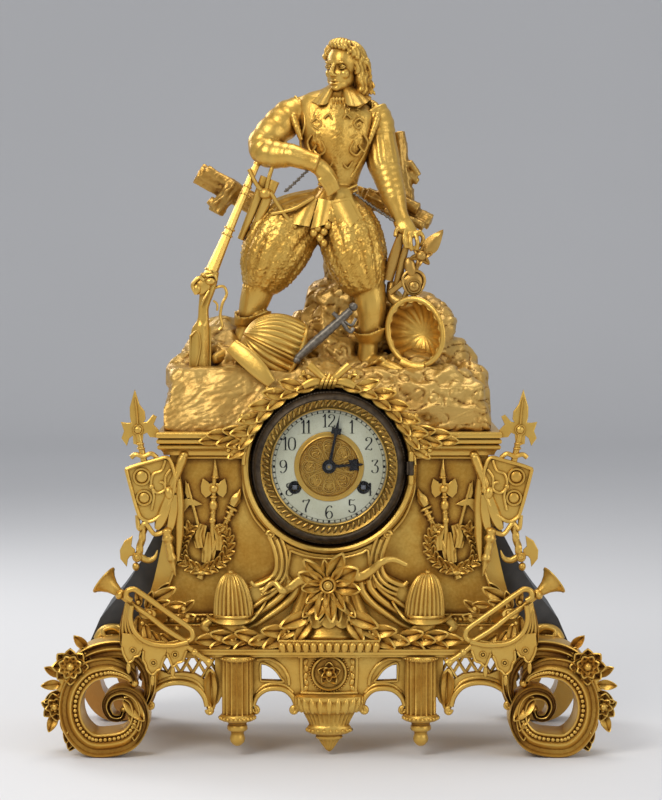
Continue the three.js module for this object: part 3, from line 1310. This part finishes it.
// The rough edge of a level: a rounded rectangle whose points wander a little, the same way each time.
function rockRing([height, left, right, front, back], level) {
  const count = 14;
  return Array.from({ length: count }, (_, i) => {
    const angle = (i / count) * turn;
    const square = (v) => Math.sign(v) * Math.abs(v) ** 0.55;
    const rough = level === 0 ? 1 : 1 - 0.05 * Math.abs(Math.sin(i * 12.9 + level * 4.7));
    const x = mix(left, right, (square(Math.cos(angle)) * rough + 1) / 2);
    const y = mix(front, back, (square(Math.sin(angle)) * rough + 1) / 2);
    return vec(...onRock([x, y, height]));
  });
}

// A boulder: a rough prism that swells to its middle, turned a little from one to the next.
function boulder([x, y, z, wide, deep, high], number) {
  const count = 6;
  return loft(
    boulderLevelShares.map(([up, size], level) =>
      Array.from({ length: count }, (_, i) => {
        const angle = ((i + number * 0.37) / count) * turn;
        const rough = 1 - 0.12 * Math.abs(Math.sin(i * 7.3 + level * 2.9 + number * 5));
        return vec(...onRock([x + Math.cos(angle) * wide * size * rough,
          y + Math.sin(angle) * deep * size * rough, z + high * up]));
      }),
    ),
  );
}

function rockMound() {
  const core = loft(rockShares.map(rockRing));
  const front = -cornice.front - overrun * 2;
  const dialBore = bore(0, dial.height, surroundOuter + clearance, front, -body.front + clearance);
  const cavity = bore(0, dial.height, cavityRadius, front, cornice.back + overrun);
  const rear = block(-corniceHalfWidth, corniceHalfWidth, moundBack, cornice.back * 2, 0,
    corniceTop + moundModule * 2);
  const ball = new THREE.SphereGeometry(shot.radius * moundModule, 7, 5).translate(...onRock(shot.place));
  return cut(join(core, ...boulderShares.map(boulder), ball), dialBore, cavity, rear);
}

// Broken timbers behind the soldier.
function timbers(...neighbours) {
  const log = (from, to, half) => bar(onRock(from), onRock(to), half * moundModule, half * moundModule,
    { sides: 5 });
  return seated(join(
    log([-1.08, 0.16, 2.01], [0.1, 0.24, 1.5], 0.075),
    log([0.86, 0.14, 1.52], [-0.02, 0.24, 1.5], 0.07),
    log([0.51, 0.24, 2.35], [0.64, 0.24, 1.5], 0.06),
    log([0.5, 0.24, 1.9], [0.16, 0.26, 1.2], 0.1),
  ), ...neighbours);
}

// Soldier: tables of [x, y, z, half width, half depth].
const torsoShares = [
  [-0.02, -0.02, 1.66, 0.3, 0.2], [0.0, -0.02, 1.78, 0.25, 0.18], [0.06, -0.03, 1.9, 0.15, 0.13],
  [0.065, -0.04, 2.03, 0.2, 0.16],
  [0.065, -0.04, 2.2, 0.28, 0.19], [0.055, -0.02, 2.42, 0.33, 0.17], [0.06, -0.01, 2.55, 0.31, 0.14],
  [0.085, -0.01, 2.62, 0.16, 0.11],
];
const breechesShares = {
  right: [[-0.1, -0.02, 1.8, 0.18, 0.18], [-0.34, -0.05, 1.55, 0.27, 0.25],
    [-0.46, -0.08, 1.35, 0.26, 0.24], [-0.56, -0.1, 1.13, 0.12, 0.12]],
  left: [[0.1, -0.04, 1.76, 0.18, 0.18], [0.17, -0.1, 1.5, 0.28, 0.25], [0.24, -0.16, 1.28, 0.27, 0.24],
    [0.31, -0.18, 1.08, 0.13, 0.13]],
};
const legShares = {
  right: [[-0.56, -0.1, 1.2, 0.12, 0.12], [-0.6, -0.1, 0.98, 0.1, 0.1], [-0.66, -0.08, 0.76, 0.065, 0.07],
    [-0.68, -0.08, 0.62, 0.08, 0.09]],
  left: [[0.32, -0.18, 1.18, 0.13, 0.13], [0.33, -0.18, 0.9, 0.11, 0.11], [0.3, -0.18, 0.65, 0.075, 0.08],
    [0.3, -0.18, 0.5, 0.085, 0.1]],
};
const bootShares = {
  right: [[-0.6, 0.0, 0.63, 0.07, 0.08], [-0.7, -0.1, 0.63, 0.075, 0.1], [-0.84, -0.24, 0.585, 0.05, 0.07]],
  left: [[0.26, -0.1, 0.47, 0.07, 0.07], [0.36, -0.24, 0.49, 0.075, 0.1], [0.6, -0.42, 0.46, 0.05, 0.07]],
};
const armShares = {
  right: [[-0.24, 0, 2.52, 0.13, 0.13], [-0.4, -0.04, 2.4, 0.12, 0.12], [-0.56, -0.1, 2.26, 0.1, 0.1],
    [-0.44, -0.2, 2.2, 0.1, 0.1],
    [-0.22, -0.24, 2.12, 0.08, 0.08], [-0.06, -0.22, 1.96, 0.06, 0.06]],
  left: [[0.36, 0, 2.5, 0.13, 0.13], [0.44, 0, 2.3, 0.12, 0.12], [0.47, -0.04, 2.1, 0.1, 0.1],
    [0.5, -0.12, 1.9, 0.08, 0.08],
    [0.56, -0.2, 1.7, 0.06, 0.07], [0.66, -0.26, 1.56, 0.05, 0.06]],
};

function soldierBody(...neighbours) {
  const limb = (table, options) => sweep(onRockAll(table), options);
  const pieces = [limb(torsoShares, { sides: 8, steps: 1 })];
  for (const side of ["right", "left"]) {
    pieces.push(limb(breechesShares[side], { sides: 6, steps: 1 }));
    pieces.push(limb(legShares[side], { sides: 6, steps: 1 }));
    pieces.push(limb(bootShares[side], { sides: 5, steps: 1, depthAxis: vec(0, 0, 1) }));
  }
  pieces.push(limb([[0.08, -0.24, 1.9, 0.17, 0.05], [0.16, -0.32, 1.5, 0.2, 0.05]], { sides: 4, steps: 1 }));
  return seated(join(...pieces), ...neighbours);
}

function soldierHead(...neighbours) {
  const skull = new THREE.SphereGeometry(0.2 * moundModule, 8, 7).scale(0.98, 1, 1.15);
  skull.translate(...onRock([0.12, 0, 2.86]));
  const neck = sweep(onRockAll([[0.08, -0.02, 2.62, 0.24, 0.2], [0.09, -0.02, 2.68, 0.11, 0.11],
    [0.11, 0, 2.8, 0.09, 0.09]]),
    { sides: 8, steps: 1 });
  return seated(join(skull, neck), ...neighbours);
}

function soldierArm(side, ...neighbours) {
  return seated(sweep(onRockAll(armShares[side]), { sides: 6, steps: 1, depthAxis: vec(0.2, 1, 0.2) }),
    ...neighbours);
}

// The long musket that leans on his forearm: barrel, lock and butt.
const musketShares = {
  barrel: [[-0.53, -0.12, 2.22, 0.026], [-0.97, -0.31, 1.2, 0.034]],
  stock: [
    [-0.9, -0.31, 1.36, 0.04, 0.04], [-0.97, -0.32, 1.12, 0.055, 0.045], [-0.99, -0.31, 0.9, 0.05, 0.045],
    [-1.0, -0.26, 0.4, 0.085, 0.05],
  ],
  lock: [[-0.92, -0.37, 1.22, 0.05, 0.03], [-0.99, -0.37, 1.06, 0.05, 0.03]],
};

function musketBody(...neighbours) {
  const { barrel: tube, stock, lock } = musketShares;
  return seated(join(
    sweep(onRockAll(tube), { sides: 8, steps: 1 }),
    sweep(onRockAll(stock), { sides: 8, steps: 1 }),
    sweep(onRockAll(lock), { sides: 6, steps: 1 }),
  ), ...neighbours);
}

// A hollow ribbed helmet: a wall turned about its own axis, with a brim, open at the mouth.
const openHelm = { radius: 24, wall: 2.2, brim: 5, depth: 25 };
function openHelmet(...neighbours) {
  const { radius, wall, brim, depth } = openHelm;
  const profile = [
    [0, depth], [radius * 0.5, depth * 0.88], [radius * 0.86, depth * 0.5], [radius, 0],
    [radius + brim, -wall],
    [radius - wall, -wall * 1.5], [radius * 0.86 - wall, depth * 0.45],
    [radius * 0.5 - wall / 2, depth * 0.88 - wall], [0, depth - wall],
  ];
  const bowl = turned(profile, 12).scale(1, 1, 0.94);
  return seated(bowl.rotateZ(-0.5).rotateX(-0.35).translate(...onRock([0.68, -0.3, 0.78])), ...neighbours);
}

// The fallen helmet: a ribbed dome on its side with the rim of its brim towards the front.
function fallenHelmet(...neighbours) {
  const module = moundModule;
  const dome = ribbed([[0.02, 0.3, 1], [0.16, 0.26], [0.28, 0.12], [0.32, -0.02],
    [0.33, -0.08, 1]].map(([r, h, plain]) =>
    [r * module, h * module, plain]), 11, 0.08, [0, 0], 0.7);
  dome.rotateY(1.05).rotateX(0.2).translate(...onRock([-0.44, -0.4, 0.62]));
  const rim = bar(onRock([-0.78, -0.52, 0.6]), onRock([-0.5, -0.56, 0.36]), 0.05 * module, 0.04 * module,
    { flat: 0.5 });
  return seated(join(dome, rim), ...neighbours);
}

function fieldSword(...neighbours) {
  const module = moundModule;
  return seated(join(
    bar(onRock([-0.28, -0.52, 0.55]), onRock([0.22, -0.5, 0.98]), 0.03 * module, 0.035 * module),
    bar(onRock([0.1, -0.5, 0.98]), onRock([0.22, -0.5, 0.82]), 0.025 * module),
  ), ...neighbours);
}

// The weapons under his left hand: a star mace, a flask and a baton.
function armsCluster(...neighbours) {
  const module = moundModule;
  const star = blossom(onRock([0.84, -0.24, 1.42]), 0.14 * module, 5, 0.04 * module);
  return seated(join(
    star,
    bar(onRock([0.84, -0.22, 1.42]), onRock([0.56, -0.26, 1.02]), 0.03 * module, 0.03 * module, { sides: 4 }),
    new THREE.SphereGeometry(0.1 * module, 5, 4).translate(...onRock([0.68, -0.24, 1.14])),
    bar(onRock([0.58, -0.26, 1.36]), onRock([0.86, -0.2, 0.98]), 0.04 * module, 0.04 * module, { sides: 4 }),
    bar(onRock([0.7, -0.22, 1.1]), onRock([0.72, -0.14, 0.8]), 0.06 * module, 0.06 * module, { sides: 4 }),
  ), ...neighbours);
}

// Assembly: each piece is named, and what seats on an earlier one is cut by it.

const { gilt, paleGilt, darkBronze, blackPaint, brass, steel, blackSteel, enamel } = materials;

const base = add("base_platform", basePlatform(), gilt);
const fret = add("base_apron", baseApron(), gilt);
const rightColumn = add("right_column", seated(fluteColumn(), fret), paleGilt);
add("left_column", mirrored(rightColumn), paleGilt);
const rightFoot = add("right_front_foot", seated(frontFoot(), fret), gilt);
const leftFoot = add("left_front_foot", mirrored(rightFoot), gilt);
const rightRear = add("right_rear_foot", rearFoot(), darkBronze);
add("left_rear_foot", mirrored(rightRear), darkBronze);

add("case_front", caseFront(), gilt);
const rightSide = add("right_case_side", caseSide(), blackPaint);
add("left_case_side", mirrored(rightSide), blackPaint);
add("case_back", caseBack(), blackPaint);
add("back_door", backDoor(), blackPaint);
add("dial_surround", dialSurround(), gilt);
const rightCornice = add("right_cornice", corniceHalf(), gilt);
add("left_cornice", mirrored(rightCornice), gilt);
add("bezel_ring", bezelRing(), darkBronze);
add("bezel_glass", bezelGlass(), materials.glass);
add("dial_pan", dialPan(), paleGilt);
add("dial_plate", dialPlate(), enamel);
add("hour_hand", hand(hourHandShares, hands.hour, hands.hourFace, motion.hourPipe, shownShares.hour),
  blackSteel);
add("minute_hand", hand(minuteHandShares, hands.minute, hands.minuteFace, motion.cannonPipe,
  shownShares.minute), blackSteel);

add("movement_front_plate", movementFrontPlate(), brass);
add("movement_rear_plate", movementRearPlate(), brass);
add("time_barrel", barrel(timePlace, plane.timeWheel, plane.timeWheel - train.wheelThickness * 1.2), brass);
add("strike_barrel", barrel(strikePlace, plane.strikeWheel, plane.strikeWheel + drum.length - weld), brass);
add("time_winding_arbor", windingArbor(timePlace), steel);
add("strike_winding_arbor", windingArbor(strikePlace), steel);
add("centre_arbor", centreArbor(), brass);
add("third_arbor", thirdArbor(), brass);
add("escape_arbor", escapeArbor(), brass);
add("pallet_arbor", palletArbor(), steel);
add("pendulum", pendulumBody(), brass);
add("cannon_pinion", cannonPinion(), steel);
add("minute_wheel", minuteWheel(), brass);
add("hour_wheel", hourWheel(), brass);
add("strike_hammer", strikeHammer(), steel);
add("strike_gong", gongCoil(), steel);

const bracketBody = add("dial_bracket", dialBracket(), gilt);
const rightSwag = add("right_swag", laurelSwag(bracketBody, base), gilt);
add("left_swag", mirrored(rightSwag), gilt);
const rightHelm = add("right_helmet", caseHelmet(bracketBody, rightSwag), gilt);
add("left_helmet", mirrored(rightHelm), gilt);
const rightTrophy = add("right_wall_trophy", wallTrophy(), paleGilt);
add("left_wall_trophy", mirrored(rightTrophy), paleGilt);
const rightShield = add("right_shield", shieldTrophy(), paleGilt);
add("left_shield", mirrored(rightShield), paleGilt);
const rightTrumpet = add("right_trumpet", trumpetTrophy(rightFoot, base, fret, rightSwag), paleGilt);
add("left_trumpet", mirrored(rightTrumpet), paleGilt);

const rock = add("rock_mound", rockMound(), gilt);
const soldier = add("soldier_body", soldierBody(rock), gilt);
const stump = add("timbers", timbers(rock, soldier), gilt);
add("soldier_head", soldierHead(soldier), gilt);
const rightArm = add("soldier_right_arm", soldierArm("right", soldier), gilt);
const leftArm = add("soldier_left_arm", soldierArm("left", soldier, stump), gilt);
add("musket", musketBody(rock, rightArm, soldier), paleGilt);
const fallen = add("fallen_helmet", fallenHelmet(rock, soldier), paleGilt);
add("field_sword", fieldSword(rock, soldier, fallen), blackSteel);
const openBowl = add("open_helmet", openHelmet(rock, soldier), gilt);
add("arms_cluster", armsCluster(rock, soldier, leftArm, openBowl, stump), paleGilt);

export default clock;
